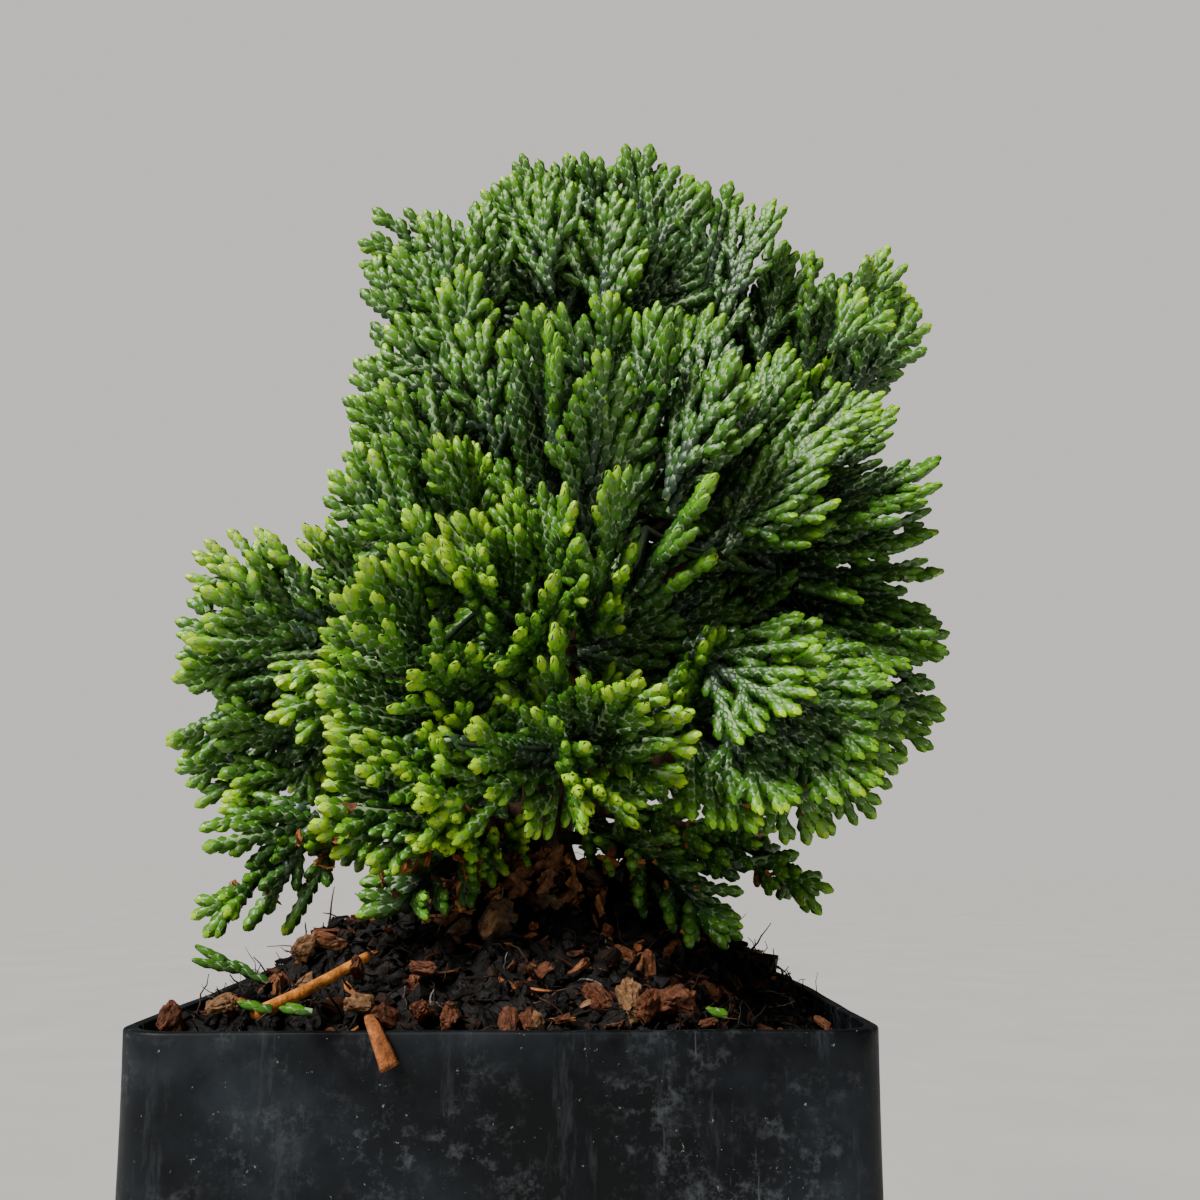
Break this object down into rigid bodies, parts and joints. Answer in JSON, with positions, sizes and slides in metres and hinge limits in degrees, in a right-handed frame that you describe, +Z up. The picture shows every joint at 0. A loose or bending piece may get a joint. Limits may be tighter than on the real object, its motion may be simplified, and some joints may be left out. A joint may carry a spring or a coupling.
{
  "type": "dwarf scale-leaf conifer in a square nursery pot",
  "caption": "Young dwarf conifer with flat sprays of scale leaves on short boughs, in a small square black nursery pot heaped with bark compost.",
  "frame": {"origin": "centre of the pot's flat underside", "axes": "+Z up along the trunk, -Y towards the picture's viewer, +X to that viewer's right"},
  "size_m": [0.0878, 0.0752, 0.1787],
  "materials": {
    "pot": "near-black moulded plastic, dull, dusty and lightly scratched",
    "compost": "loose dark bark compost with fibres and red-brown chips",
    "bark": "thin red-brown bark, rough and flaking",
    "foliage": "green scale leaves, slightly waxy, yellow-green at the tips"
  },
  "bodies": {
    "root": {"pot": "pot", "compost": "compost", "trunk": "bark", "bough_top_left": "bark", "bough_top_right": "bark", "bough_wing": "bark", "bough_left_upper": "bark", "bough_left_shoulder": "bark", "bough_left": "bark", "bough_left_low": "bark", "bough_front_upper": "bark", "bough_front_upper_right": "bark", "bough_front_middle": "bark", "bough_front_centre": "bark", "bough_front_left": "bark", "bough_front_low": "bark", "bough_front_low_left": "bark", "bough_right_middle": "bark", "bough_right_low": "bark", "bough_right_front_low": "bark", "bough_back_top": "bark", "bough_back_left": "bark", "bough_back_right": "bark", "bough_back_middle": "bark", "bough_back_low_left": "bark", "bough_back_low": "bark", "bough_back_low_right": "bark", "bough_hang_left": "bark", "bough_hang_right": "bark", "foliage_top": "foliage", "foliage_top_left": "foliage", "foliage_top_right": "foliage", "foliage_wing": "foliage", "foliage_left_upper": "foliage", "foliage_left_shoulder": "foliage", "foliage_left": "foliage", "foliage_left_low": "foliage", "foliage_front_upper": "foliage", "foliage_front_upper_right": "foliage", "foliage_front_middle": "foliage", "foliage_front_centre": "foliage", "foliage_front_left": "foliage", "foliage_front_low": "foliage", "foliage_front_low_left": "foliage", "foliage_right_middle": "foliage", "foliage_right_low": "foliage", "foliage_right_front_low": "foliage", "foliage_back_top": "foliage", "foliage_back_left": "foliage", "foliage_back_right": "foliage", "foliage_back_middle": "foliage", "foliage_back_low_left": "foliage", "foliage_back_low": "foliage", "foliage_back_low_right": "foliage", "foliage_middle_left": "foliage", "foliage_middle_right": "foliage", "foliage_low_left": "foliage", "foliage_hang_left": "foliage", "foliage_hang_right": "foliage", "foliage_low_right": "foliage"}
  },
  "joints": []
}
